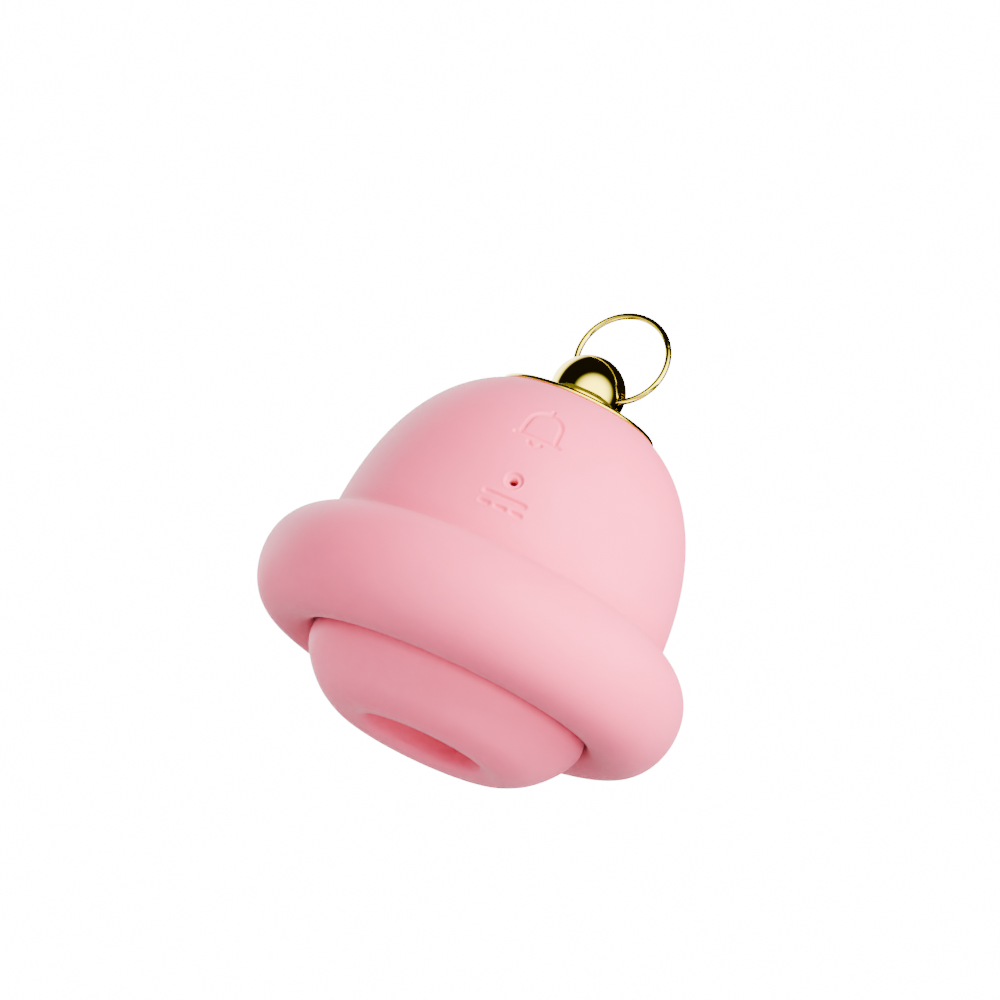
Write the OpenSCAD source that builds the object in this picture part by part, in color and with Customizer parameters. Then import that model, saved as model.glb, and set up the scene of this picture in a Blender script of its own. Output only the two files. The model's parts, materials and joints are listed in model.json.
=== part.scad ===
// Bell-shaped air-pulse massager: soft skin over a two-part case, a suction cup below,
// a motor, crank and bellows pump inside, and a ball with a loose ring on top.
// Millimetres. +Z is up, the origin is the centre of the cup's lip, at its lowest, the front is -Y.

/* [Brim] */
// Outer diameter of the fat brim
brim_d = 56; // [53:0.5:68]
// Half the width of the brim's section
brim_w = 10.8; // [10:0.1:12]
// Height of the brim's fattest line
brim_z = 14.6; // [14.2:0.1:16.2]
// Rise of the brim above its fattest line
brim_up = 8.6; // [7.5:0.1:10]
// Drop of the brim below its fattest line
brim_down = 7.5; // [7:0.1:8]

/* [Dome] */
// Diameter of the dome where it leaves the brim
dome_d = 44.4; // [42:0.1:50]
// Height at which the dome's curve starts
dome_z = 19.7; // [19.2:0.1:21.2]
// Height of the dome's full curve
dome_h = 28.06; // [27:0.1:34]
// How late the dome starts to close
dome_power = 2.26; // [2:0.02:2.6]
// How round the dome's crown is
dome_round = 2.54; // [2.2:0.02:3]

/* [Walls and gaps] */
// Thickness of the soft skin
skin_t = 1.8; // [1.2:0.1:2.2]
// Thickness of the case wall
case_t = 1.4; // [1:0.1:1.8]
// Gap between pieces that are fixed together
fit_gap = 0.1; // [0.05:0.01:0.15]
// Gap between pieces that move past each other
move_gap = 0.3; // [0.3:0.05:0.5]
// Running clearance of pins and plungers
run_gap = 0.06; // [0.04:0.01:0.08]

/* [Suction cup] */
// Diameter of the cup at its shoulder
cup_d = 36.6; // [34:0.1:38]
// Diameter where the rounded lip meets the cup's flank
lip_d = 27.4; // [25:0.1:30]
// Diameter of the round mouth
mouth_d = 15.6; // [14:0.1:17]
// Diameter of the throat above the mouth
throat_d = 8; // [6:0.1:10]
// Height of the cup's shoulder
cup_h = 9; // [8.2:0.1:9.7]

/* [Cap, ball and ring] */
// Diameter of the gold cap
cap_d = 20.5; // [16:0.1:24]
// Thickness of the cap's rim
cap_t = 0.65; // [0.5:0.05:1]
// Rise of the cap's crown
cap_crown = 1; // [0.6:0.1:1.5]
// Diameter of the ball
ball_d = 9.5; // [8:0.1:12]
// Height of the ball's centre above the cap's seat
ball_rise = 3.25; // [3:0.05:4]
// Wall of the hollow ball
ball_wall = 0.5; // [0.4:0.05:0.7]
// Diameter of the ring along its wire
ring_d = 12; // [10:0.1:16]
// Thickness of the ring's wire
ring_wire = 0.8; // [0.6:0.05:1]
// Turn of the ring's plane about the axis
ring_turn = -17.5; // [-90:0.5:90]
// Lean of the ring to one side
ring_lean = 20; // [0:1:30]
// Tip of the ring's plane out of the vertical
ring_tip = -4.8; // [-10:0.2:10]

/* [Button and socket] */
// Height of the button's centre
button_z = 38.4; // [36.2:0.1:39.2]
// Diameter of the moving pad
button_d = 9.2; // [8:0.1:9.6]
// Travel of the button
button_travel = 0.4; // [0.2:0.05:0.4]
// Diameter of the plunger behind the pad
plunger_d = 4; // [3:0.1:4.4]
// Height of the charge socket
socket_z = 30.6; // [30.2:0.1:31.2]
// Diameter of the recess in the skin
recess_d = 2.4; // [2:0.1:3]
// Diameter of the pin hole
pin_hole_d = 1.1; // [0.8:0.05:1.3]
// Height of the direct-current mark
mark_z = 27.4; // [26.7:0.1:27.8]

/* [Drive] */
// Diameter of the motor
motor_d = 10; // [8:0.1:10.4]
// Length of the motor
motor_l = 11.5; // [9:0.1:12]
// Height of the motor's axis
motor_z = 26.2; // [26.2:0.1:26.7]
// Offset of the crank pin
crank_e = 0.6; // [0.4:0.05:0.7]
// Diameter of the crank pin
crank_pin_d = 1.5; // [1.2:0.05:1.8]
// Height of the piston's pin
wrist_z = 21.6; // [21.5:0.1:21.7]
// Diameter of the cell
cell_d = 9; // [7:0.1:9.4]
// Length of the cell
cell_l = 13.6; // [10:0.1:14]

/* [Hidden] */
$fn = 48;

pink = [0.93, 0.62, 0.68];
rose = [0.85, 0.42, 0.5];
gold = [0.9, 0.7, 0.3];
white_plastic = [0.9, 0.9, 0.88];
steel = [0.7, 0.71, 0.73];
board_green = [0.1, 0.35, 0.2];

far = 60;                 // longer than the object, for cuts
brim_r = brim_d / 2;
brim_cr = brim_r - brim_w;
brim_power = 2.16;        // 2 is an ellipse, more is squarer
curve_steps = 14;

// The cup's shoulder, the groove around it and the brim's lowest line
cup_r = cup_d / 2;
groove_r = cup_r + 0.15;
floor_z = cup_h + fit_gap;
brim_low_r = groove_r + 3.55;
brim_low_z = brim_z - brim_down;
stem_r = cup_r * 0.68;
neck_r = stem_r - 3;
bead = 0.5;

// Depths below the skin's outer surface
case_in = skin_t + fit_gap;
inside = case_in + case_t;
split_z = brim_z;

// The dome closes on the cap's seat
cap_r = cap_d / 2;
seat_z = dome_z + dome_h * pow(1 - pow(cap_r / (dome_d / 2), dome_round), 1 / dome_power);
ball_z = seat_z + ball_rise;
ball_r = ball_d / 2;
stud_r = 1;

// The wire crosses the ball's wall at two points; the ring swings about the line between them
ring_r = ring_d / 2;
wire_r = ring_wire / 2;
cross_r = ball_r - ball_wall / 2;
cross_a = 2 * asin(cross_r / ring_d);
chord_rise = ring_r * (1 - cos(cross_a));
eye_r = wire_r / cos(cross_a) + ball_wall / 2 * tan(cross_a) + move_gap;

// Button, switch and board, as depths along the button's normal
pad_in = skin_t + fit_gap;
pocket_in = pad_in + button_travel + 2 * fit_gap;
plunger_in = pad_in + 3.4;
stem_in = plunger_in + button_travel + fit_gap;
switch_in = stem_in + 0.6;
board_in = switch_in + 1.6;
board_t = 1;
board_w = 13;
bell_rise = 0.4;           // of the bell outline above the button's centre
board_low = 2.6;
board_high = 6.4;
board_post_x = 4.8;
board_post_y = 4.6;

// Socket, as depths along the socket's normal
socket_r = 2.1;
socket_face = case_in + fit_gap;
socket_end = socket_face + 5.4;
pin_hole_end = socket_face + 4.6;

// Pump, from the floor of the case upwards
case_floor = floor_z + inside;
seat_in = neck_r + bead + 0.4;
seat_out = seat_in + 1.6;
seat_top = case_floor + 1.4;
flange_t = 0.6;
ring_low = seat_top + flange_t + fit_gap;
ring_t = 1.2;
pillar_r = seat_out + 2.4;
plate_low = ring_low + 5.8;
plate_t = 1.2;
plate_top = plate_low + plate_t;
plate_r = 15.4;
plate_hole = 6.5;
piston_r = 5;
piston_low = ring_low + 2.2;
piston_t = 1;

// Crank and rod, along X from the motor to the rod's far side
motor_x = 4.2;
disc_x = 0.9;
disc_t = 2;
disc_r = 3.2;
shaft_r = 0.75;
rod_x = -2.1;
rod_t = 1.5;
crank_pin_r = crank_pin_d / 2;
wrist_r = 0.8;
eye_y = wrist_r + crank_e + fit_gap;
eye_z = wrist_r + 2 * crank_e + fit_gap;
ear_gap = 0.35;
ear_t = 0.8;
ear_in = rod_t / 2 + ear_gap;
rod_mid = rod_x + rod_t / 2;
rod_wall = 0.6;

// Bosses and seal where the two case halves meet
boss_at = (groove_r + brim_r - inside) / 2 - 1.6;
boss_r = 2.1;
boss_turn = 90;
seal_in = brim_r - inside + 0.35;
seal_out = brim_r - case_in - 0.35;

// Strap over the motor, and its posts
strap_x = motor_x + motor_l * 0.35;
strap_w = 3;
post_y = motor_d / 2 + 2.6;
post_top = motor_z - 1;

cell_x = -10.8;
cell_low = plate_top + 0.6;

// Radius of the dome at a height, a given depth below the skin's surface
function dome_r(z, inset = 0) =
    (dome_d / 2 - inset)
    * pow(1 - pow(max(z - dome_z, 0) / (dome_h - inset), dome_power), 1 / dome_round);

// How far the dome's normal points upwards at a height
function lean(z) = atan((dome_r(z - 0.1) - dome_r(z + 0.1)) / 0.2);

// A smooth curve through four control points, without its first point
function curve(a, b, c, d) = [for (i = [1:curve_steps]) let (t = i / curve_steps)
    pow(1 - t, 3) * a + 3 * t * pow(1 - t, 2) * b + 3 * t * t * (1 - t) * c + pow(t, 3) * d];

// Upper half of the brim's section, from the fattest line to its top
function brim_arc(inset) = [for (i = [1:curve_steps]) let (a = 90 * i / curve_steps)
    [brim_cr + (brim_w - inset) * pow(cos(a), 2 / brim_power),
     brim_z + (brim_up - inset) * pow(sin(a), 2 / brim_power)]];

// The brim as a solid of revolution, a given depth below the surface
module brim_solid(inset) {
    lip = [groove_r + inset, floor_z + inset];
    low = [brim_low_r, brim_low_z + inset];
    wide = [brim_r - inset, brim_z];
    rotate_extrude($fn = 96)
        polygon(concat([[0, floor_z + inset], lip],
            curve(lip, lip - [0, (floor_z - brim_low_z) * 0.6], low - [1.8, 0], low),
            curve(low, low + [3.6, 0], wide - [0, (brim_down - inset) * 0.53], wide),
            brim_arc(inset),
            [[0, brim_z + brim_up - inset]]));
}

// The dome as a solid of revolution, a given depth below the surface
module dome_solid(inset) {
    top = seat_z - inset;
    rotate_extrude($fn = 96)
        polygon(concat([[0, dome_z], [dome_d / 2 - inset, dome_z]],
            [for (i = [1:22]) let (z = dome_z + (top - dome_z) * i / 22) [dome_r(z, inset), z]],
            [[0, top]]));
}

module bell_solid(inset) {
    brim_solid(inset);
    dome_solid(inset);
}

// Places children on the front of the dome, with +Z along the surface's normal
module on_front(z) {
    translate([0, -dome_r(z), z]) rotate([90 - lean(z), 0, 0]) children();
}

// A cylinder along Z between two depths below the surface
module plug(r, from, to, sides = 48) {
    translate([0, 0, -to]) cylinder(r = r, h = to - from, $fn = sides);
}

// A cylinder along X
module along_x(r, x, length, sides = 48) {
    translate([x, 0, 0]) rotate([0, 90, 0]) cylinder(r = r, h = length, $fn = sides);
}

module tube(r_out, r_in, h) {
    difference() {
        cylinder(r = r_out, h = h);
        translate([0, 0, -1]) cylinder(r = r_in, h = h + 2);
    }
}

// Places children in the ring's own frame: X across, Z through the ring's centre
module ring_frame() {
    translate([0, 0, ball_z]) rotate([ring_tip, 0, ring_turn]) rotate([0, ring_lean, 0]) children();
}

module three_around(r, turn) {
    for (a = [0, 120, 240]) rotate(turn + a) translate([r, 0, 0]) children();
}

// Pan-head screw, head down, with its head's seat at z = 0
module screw(shank_r, length, head_r, head_h) {
    translate([0, 0, -head_h]) difference() {
        cylinder(r = head_r, h = head_h);
        translate([0, 0, -1]) cylinder(r = head_r * 0.45, h = head_h * 0.6 + 1, $fn = 6);
    }
    cylinder(r = shank_r, h = length);
}

// A round wire through a list of points
module wire(points, r) {
    for (i = [0:len(points) - 2]) let (d = points[i + 1] - points[i], l = norm(d)) {
        translate(points[i]) rotate([0, acos(d[2] / l), atan2(d[1], d[0])])
            cylinder(r = r, h = l, $fn = 16);
        translate(points[i + 1]) sphere(r = r * 1.04, $fn = 16);
    }
}

// A bell in outline: crown, sides, brim line, clapper and loop
module bell_outline(depth) {
    stroke = 0.5;
    crown_r = 2.1;
    translate([0, 0.5, -depth]) intersection() {
        tube(crown_r + stroke / 2, crown_r - stroke / 2, 2);
        translate([-4, 0, 0]) cube([8, 4, 2]);
    }
    for (side = [-1, 1])
        translate([side * crown_r - stroke / 2, -1.6, -depth]) cube([stroke, 2.15, 2]);
    translate([-2.9, -2.1, -depth]) cube([5.8, stroke, 2]);
    translate([0, -2.4, -depth]) intersection() {
        tube(1.1, 1.1 - stroke, 2);
        translate([-2, -2, 0]) cube([4, 1.9, 2]);
    }
    translate([-stroke / 2, 2.6, -depth]) cube([stroke, 0.9, 2]);
}

// Direct-current symbol: one bar over three dashes
module direct_current_mark(depth) {
    bar = 5.4;
    dash = 1.3;
    stroke = 0.5;
    translate([-bar / 2, 0.45, -depth]) cube([bar, stroke, 2]);
    for (i = [-1:1]) translate([i * (bar - dash) / 2 - dash / 2, -0.95, -depth])
        cube([dash, stroke, 2]);
}

module bell_skin() {
    color(pink) difference() {
        bell_solid(0);
        bell_solid(skin_t);
        translate([0, 0, -1]) cylinder(r = stem_r + fit_gap, h = floor_z + skin_t + 2);
        cylinder(r = stud_r + fit_gap, h = far);
        on_front(button_z) plug(button_d / 2 + move_gap, -2, inside);
        on_front(socket_z) plug(recess_d / 2, -2, inside);
        on_front(mark_z) direct_current_mark(0.5);
    }
}

module button_pad() {
    color(pink) difference() {
        intersection() {
            bell_solid(0);
            on_front(button_z) plug(button_d / 2, -2, pad_in);
        }
        on_front(button_z) translate([0, bell_rise, 0]) bell_outline(0.55);
    }
}

module button_plunger() {
    color(white_plastic) on_front(button_z) {
        plug(plunger_d / 2, pad_in + fit_gap, plunger_in);
        plug(plunger_d / 2 + 0.8, inside + 1.1, inside + 1.7);
    }
}

module suction_cup() {
    lip_r = lip_d / 2;
    mouth_r = mouth_d / 2;
    throat_r = throat_d / 2;
    rest_in = mouth_r + 2.5;
    rest_out = rest_in + 1;
    round = 0.8;
    throat_low = cup_h - 0.2;
    color(pink) rotate_extrude($fn = 96)
        polygon(concat([[rest_in, 0], [rest_out, 0]],
            curve([rest_out, 0], [rest_out + 0.9, 0], [lip_r - 0.8, 0.7], [lip_r, 1.2]),
            curve([lip_r, 1.2], [lip_r + 1.5, 2.1], [cup_r - 0.1, cup_h - 3.9], [cup_r, cup_h - round]),
            curve([cup_r, cup_h - round], [cup_r, cup_h - round / 2],
                [cup_r - round / 2, cup_h], [cup_r - round, cup_h]),
            [[stem_r, cup_h], [stem_r, floor_z + skin_t],
             [neck_r, floor_z + skin_t], [neck_r, case_floor + fit_gap],
             [neck_r + bead, case_floor + fit_gap], [neck_r, case_floor + 0.9],
             [throat_r, case_floor + 0.9]],
            curve([throat_r, throat_low], [throat_r, throat_low - 2.4],
                [mouth_r + 0.5, throat_low - 1.6], [mouth_r + 0.5, throat_low - 4.2]),
            curve([mouth_r + 0.5, throat_low - 4.2], [mouth_r + 0.5, 2.8], [mouth_r, 2.4], [mouth_r, 1.4]),
            curve([mouth_r, 1.4], [mouth_r, 0.5], [mouth_r + 0.9, 0], [rest_in, 0])));
}

module cap_disc() {
    seat = ball_seat_z();
    color(gold) difference() {
        translate([0, 0, seat_z + fit_gap / 2]) rotate_extrude($fn = 96)
            polygon(concat([[0, 0], [cap_r - 0.2, 0], [cap_r, 0.2], [cap_r, cap_t - 0.1]],
                curve([cap_r, cap_t - 0.1], [cap_r - 0.6, cap_t + 0.3],
                    [cap_r * 0.5, cap_t + cap_crown], [0, cap_t + cap_crown])));
        cylinder(r = stud_r + fit_gap, h = far);
        translate([0, 0, seat]) cylinder(r = ball_r, h = 5);
    }
}

// Height of the ball's flat foot on the cap
function ball_seat_z() = seat_z + cap_t + cap_crown * 0.55;

module ball_finial() {
    foot = ball_seat_z() + fit_gap / 2;
    cavity = ball_r - ball_wall;
    color(gold) {
        difference() {
            translate([0, 0, ball_z]) sphere(r = ball_r, $fn = 96);
            translate([-far / 2, -far / 2, foot - far]) cube(far);
            intersection() {
                translate([0, 0, ball_z]) sphere(r = cavity, $fn = 96);
                translate([-far / 2, -far / 2, foot + 0.9]) cube(far);
            }
            ring_frame() translate([0, 0, chord_rise]) along_x(eye_r, -ball_r, ball_d);
        }
        translate([0, 0, seat_z - inside - 3]) cylinder(r = stud_r, h = foot + 0.5 - seat_z + inside + 3);
    }
}

module hanging_ring() {
    color(gold) ring_frame() translate([0, 0, ring_r]) rotate([90, 0, 0])
        rotate_extrude($fn = 96) translate([ring_r, 0]) circle(r = wire_r, $fn = 32);
}

module finial_washer() {
    color(steel) translate([0, 0, seat_z - inside - fit_gap - 0.5])
        tube(2.6, stud_r + fit_gap / 2, 0.5);
}

module finial_nut() {
    color(steel) translate([0, 0, seat_z - inside - 2 * fit_gap - 2.1]) difference() {
        cylinder(r = 2.3, h = 1.6, $fn = 6);
        translate([0, 0, -1]) cylinder(r = stud_r + fit_gap / 2, h = 4);
    }
}

module upper_case() {
    color(white_plastic) difference() {
        union() {
            difference() {
                bell_solid(case_in);
                bell_solid(inside);
            }
            intersection() {
                bell_solid(case_in);
                union() {
                    three_around(boss_at, boss_turn) cylinder(r = boss_r, h = brim_z + brim_up);
                    on_front(button_z) for (x = [-1, 1])
                        translate([x * board_post_x, board_post_y, 0]) plug(1.4, case_in, board_in - fit_gap);
                }
            }
        }
        translate([-far / 2, -far / 2, split_z + fit_gap - far]) cube(far);
        cylinder(r = stud_r + fit_gap, h = far);
        three_around(boss_at, boss_turn) cylinder(r = 0.85, h = brim_z + brim_up - inside - 0.8);
        on_front(button_z) {
            plug(button_d / 2 + move_gap, -2, pocket_in);
            plug(plunger_d / 2 + run_gap, -2, inside + 3);
            for (x = [-1, 1]) translate([x * board_post_x, board_post_y, 0])
                plug(0.6, inside + 1, board_in + 1);
        }
        on_front(socket_z) plug(socket_r + fit_gap, -2, inside + 1);
    }
}

module lower_case() {
    color(white_plastic) difference() {
        union() {
            difference() {
                brim_solid(case_in);
                brim_solid(inside);
            }
            intersection() {
                brim_solid(case_in);
                union() {
                    three_around(boss_at, boss_turn) cylinder(r = boss_r, h = far);
                    three_around(pillar_r, -30) cylinder(r = 1.7, h = ring_low - fit_gap);
                    translate([0, 0, case_floor - 0.1]) tube(seat_out, seat_in, seat_top - case_floor + 0.1);
                }
            }
        }
        translate([-far / 2, -far / 2, split_z]) cube(far);
        translate([0, 0, -1]) cylinder(r = neck_r + fit_gap, h = case_floor + 2);
        translate([0, 0, split_z - 0.3]) tube(seal_out + fit_gap, seal_in - fit_gap, 2);
        three_around(boss_at, boss_turn) {
            cylinder(r = 1.1, h = far);
            cylinder(r = 1.9, h = case_floor + 0.4);
        }
        three_around(pillar_r, -30) translate([0, 0, case_floor - 0.4]) cylinder(r = 0.7, h = 5);
    }
}

module case_seal() {
    color("dimgray") translate([0, 0, split_z - 0.28]) tube(seal_out, seal_in, 0.28 + fit_gap * 0.8);
}

module case_screws() {
    color(steel) three_around(boss_at, boss_turn) translate([0, 0, case_floor + 0.4 - 0.02])
        screw(0.8, brim_z + brim_up - inside - 1.2 - case_floor, 1.7, 1);
}

module control_board() {
    color(board_green) on_front(button_z) difference() {
        translate([-board_w / 2, -board_low, -board_in - board_t])
            cube([board_w, board_low + board_high, board_t]);
        for (x = [-1, 1]) translate([x * board_post_x, board_post_y, 0])
            plug(0.75, board_in - 1, board_in + board_t + 1);
    }
}

module switch_body() {
    color("silver") on_front(button_z)
        translate([-2.2, -2.2, -board_in + 0.02]) cube([4.4, 4.4, 1.6 - 0.02]);
}

module switch_stem() {
    color("black") on_front(button_z) plug(1, stem_in, switch_in);
}

module board_chips() {
    color("black") on_front(button_z) {
        translate([-4.5, -1.8, -board_in - board_t - 1.2]) cube([4, 4, 1.15]);
        translate([1.2, -1.6, -board_in - board_t - 1]) cube([3, 2.4, 0.95]);
    }
}

module status_light() {
    color("red") on_front(button_z) translate([3.6, -1.6, -board_in + 0.03]) cube([1.6, 0.8, 0.7]);
}

module board_screws() {
    color(steel) on_front(button_z) for (x = [-1, 1])
        translate([x * board_post_x, board_post_y, -board_in - board_t - 0.03])
            screw(0.55, 3.6, 1.2, 0.7);
}

module charge_socket() {
    color("black") on_front(socket_z) difference() {
        union() {
            plug(socket_r, socket_face, socket_end);
            plug(socket_r + 0.7, inside + 0.5, inside + 1.2);
        }
        plug(pin_hole_d / 2, case_in - 1, pin_hole_end);
    }
}

module socket_contact() {
    color(gold) on_front(socket_z) for (x = [-1, 1])
        translate([x * 0.9, 0, 0]) plug(0.35, socket_end + 0.02, socket_end + 1.3, 24);
}

module cell() {
    color("slateblue") translate([cell_x, 0, cell_low]) {
        cylinder(r = cell_d / 2, h = cell_l - 0.5);
        cylinder(r = cell_d / 4, h = cell_l);
    }
}

module cell_pad() {
    color("dimgray") translate([cell_x, 0, plate_top + 0.05])
        cylinder(r = cell_d / 2 - 0.4, h = cell_low - plate_top - 0.1);
}

module cell_leads() {
    top = cell_low + cell_l;
    color("firebrick") wire([[cell_x + 1, 0, top + 0.42], [cell_x + 4, 0, top + 1.6],
        [cell_x + 6, -2.5, top + 0.8], [cell_x + 7.4, -5.5, top]], 0.4);
    color("black") wire([[motor_x + motor_l + 1.35, -2, motor_z + 2], [motor_x + motor_l - 1, -5.8, motor_z + 6.4],
        [motor_x + 3.5, -7, motor_z + 7.6], [motor_x + 0.5, -7.4, motor_z + 8.6]], 0.4);
}

module drive_frame() {
    saddle_l = motor_l - 2;
    color(white_plastic) difference() {
        union() {
            translate([0, 0, ring_low]) cylinder(r = pillar_r + 1.8, h = ring_t);
            translate([0, 0, plate_low]) cylinder(r = plate_r, h = plate_t);
            three_around(pillar_r, 30) translate([0, 0, ring_low]) cylinder(r = 1.6, h = plate_top - ring_low);
            translate([motor_x + 1, -motor_d * 0.4, plate_low])
                cube([saddle_l, motor_d * 0.8, motor_z - motor_d / 4 - plate_low]);
            for (side = [-1, 1]) translate([strap_x + strap_w / 2, side * post_y, plate_low])
                cylinder(r = 1.5, h = post_top - plate_low);
            translate([cell_x, 0, plate_low]) cylinder(r = cell_d / 2 + 1, h = plate_t + 4);
        }
        translate([0, 0, ring_low - 1]) cylinder(r = seat_in - 1, h = ring_t + 2);
        translate([0, 0, plate_low - 1]) cylinder(r = plate_hole, h = plate_t + 2);
        translate([cell_x, 0, plate_top]) cylinder(r = cell_d / 2 + fit_gap, h = 10);
        translate([0, 0, motor_z]) along_x(motor_d / 2 + fit_gap, motor_x - 1, motor_l + 4);
        translate([0, 0, plate_top - 1]) cylinder(r = plate_hole - 1, h = 12);
        for (side = [-1, 1]) translate([strap_x + strap_w / 2, side * post_y, post_top - 3])
            cylinder(r = 0.6, h = 5);
        three_around(pillar_r, -30) translate([0, 0, ring_low - 1]) cylinder(r = 0.8, h = ring_t + 2);
        three_around(pillar_r, -30) translate([0, 0, plate_low - 1]) cylinder(r = 1.6, h = plate_t + 2);
    }
}

module frame_screws() {
    color(steel) three_around(pillar_r, -30)
        translate([0, 0, ring_low + ring_t + 0.02]) mirror([0, 0, 1])
            screw(0.65, ring_t + ring_low - case_floor, 1.3, 0.8);
}

module motor_can() {
    color(steel) translate([0, 0, motor_z]) difference() {
        union() {
            along_x(motor_d / 2, motor_x, motor_l - 1);
            along_x(motor_d / 5, motor_x - 0.5, 1);
        }
        along_x(shaft_r + run_gap, motor_x - 1, motor_l - 2);
    }
}

module motor_end_cap() {
    color(white_plastic) translate([0, 0, motor_z]) {
        along_x(motor_d / 2 - 0.2, motor_x + motor_l - 1 + 0.02, 1);
        for (side = [-1, 1]) translate([0, side * 2, 2])
            along_x(0.3, motor_x + motor_l, 0.8, 24);
    }
}

module motor_strap() {
    r = motor_d / 2 + fit_gap;
    color(steel) difference() {
        union() {
            translate([0, 0, motor_z]) along_x(r + 0.7, strap_x, strap_w);
            translate([strap_x, -post_y - 1.6, post_top + fit_gap]) cube([strap_w, 2 * post_y + 3.2, 0.8]);
        }
        translate([0, 0, motor_z]) along_x(r, strap_x - 1, strap_w + 2);
        translate([strap_x - 1, -far / 2, post_top + fit_gap - far]) cube(far);
        for (side = [-1, 1]) translate([strap_x + strap_w / 2, side * post_y, post_top - 1])
            cylinder(r = 0.7, h = 4);
    }
}

module strap_screws() {
    color(steel) for (side = [-1, 1])
        translate([strap_x + strap_w / 2, side * post_y, post_top + fit_gap + 0.82]) mirror([0, 0, 1])
            screw(0.55, 3.4, 1.2, 0.7);
}

module motor_shaft() {
    color(steel) translate([0, 0, motor_z]) along_x(shaft_r, disc_x + 0.5, motor_x + motor_l - 3.5 - disc_x);
}

module crank_disc() {
    color(white_plastic) translate([0, 0, motor_z]) difference() {
        along_x(disc_r, disc_x, disc_t);
        along_x(shaft_r, disc_x + 0.5, disc_t);
    }
}

module crank_pin() {
    color(steel) translate([0, crank_e, motor_z])
        along_x(crank_pin_r, rod_x - 0.3, disc_x - rod_x + 0.3);
}

// The rod's foot is a long eye, so that it stays clear of the piston's pin at every crank angle
module connecting_rod() {
    head_r = crank_pin_r + 1.1;
    wall = rod_wall;
    color(white_plastic) translate([0, crank_e, 0]) difference() {
        union() {
            translate([0, 0, motor_z]) along_x(head_r, rod_x, rod_t);
            translate([rod_x, -0.9, wrist_z + eye_z]) cube([rod_t, 1.8, motor_z - wrist_z - eye_z]);
            for (s = [-1, 1]) translate([0, 0, wrist_z + s * (eye_z - eye_y)])
                along_x(eye_y + wall, rod_x, rod_t);
            translate([rod_x, -eye_y - wall, wrist_z - eye_z + eye_y])
                cube([rod_t, 2 * (eye_y + wall), 2 * (eye_z - eye_y)]);
        }
        translate([0, 0, motor_z]) along_x(crank_pin_r + run_gap, rod_x - 1, rod_t + 2);
        for (s = [-1, 1]) translate([0, 0, wrist_z + s * (eye_z - eye_y)])
            along_x(eye_y, rod_x - 1, rod_t + 2);
        translate([rod_x - 1, -eye_y, wrist_z - eye_z + eye_y])
            cube([rod_t + 2, 2 * eye_y, 2 * (eye_z - eye_y)]);
    }
}

module piston() {
    color(rose) difference() {
        union() {
            translate([0, 0, piston_low]) cylinder(r = piston_r, h = piston_t);
            for (s = [-1, 1])
                translate([rod_mid + s * (ear_in + ear_t / 2) - ear_t / 2, -1.6, piston_low + 0.5])
                    cube([ear_t, 3.2, wrist_z + 1.5 - piston_low - 0.5]);
        }
        translate([0, 0, wrist_z]) along_x(wrist_r, rod_mid - 5, 10);
        translate([rod_mid - ear_in, -3, piston_low + piston_t * 0.6]) cube([2 * ear_in, 6, 1]);
    }
}

module piston_pin() {
    color(steel) translate([0, 0, wrist_z])
        along_x(wrist_r, rod_mid - ear_in - ear_t, 2 * (ear_in + ear_t));
}

// A thin soft cup with one fold between the clamped flange and the piston
module bellows() {
    wall = 0.5;
    top = piston_low - fit_gap;
    foot = seat_top + fit_gap / 2;
    fold = (foot + flange_t + top) / 2;
    outer = seat_in - 1.4;
    color(rose) rotate_extrude($fn = 96)
        polygon([[outer - 1.2, foot], [seat_out - 0.2, foot], [seat_out - 0.2, foot + flange_t - fit_gap],
            [outer - 0.6, foot + flange_t - fit_gap], [outer, fold], [outer - 1.2, top], [0, top],
            [0, top - wall], [outer - 1.5, top - wall], [outer - wall - 0.2, fold],
            [outer - 1.2, foot + flange_t - fit_gap]]);
}

bell_skin();
button_pad();
suction_cup();
cap_disc();
ball_finial();
hanging_ring();
finial_washer();
finial_nut();
upper_case();
lower_case();
case_seal();
case_screws();
button_plunger();
control_board();
switch_body();
switch_stem();
board_chips();
status_light();
board_screws();
charge_socket();
socket_contact();
cell();
cell_pad();
cell_leads();
drive_frame();
frame_screws();
motor_can();
motor_end_cap();
motor_strap();
strap_screws();
motor_shaft();
crank_disc();
crank_pin();
connecting_rod();
piston();
piston_pin();
bellows();
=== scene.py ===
"""Looks of the bell-shaped massager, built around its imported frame. Lengths are in metres."""

import json
import math

import bmesh
import bpy
import numpy as np
from mathutils import Matrix, Vector


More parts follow.
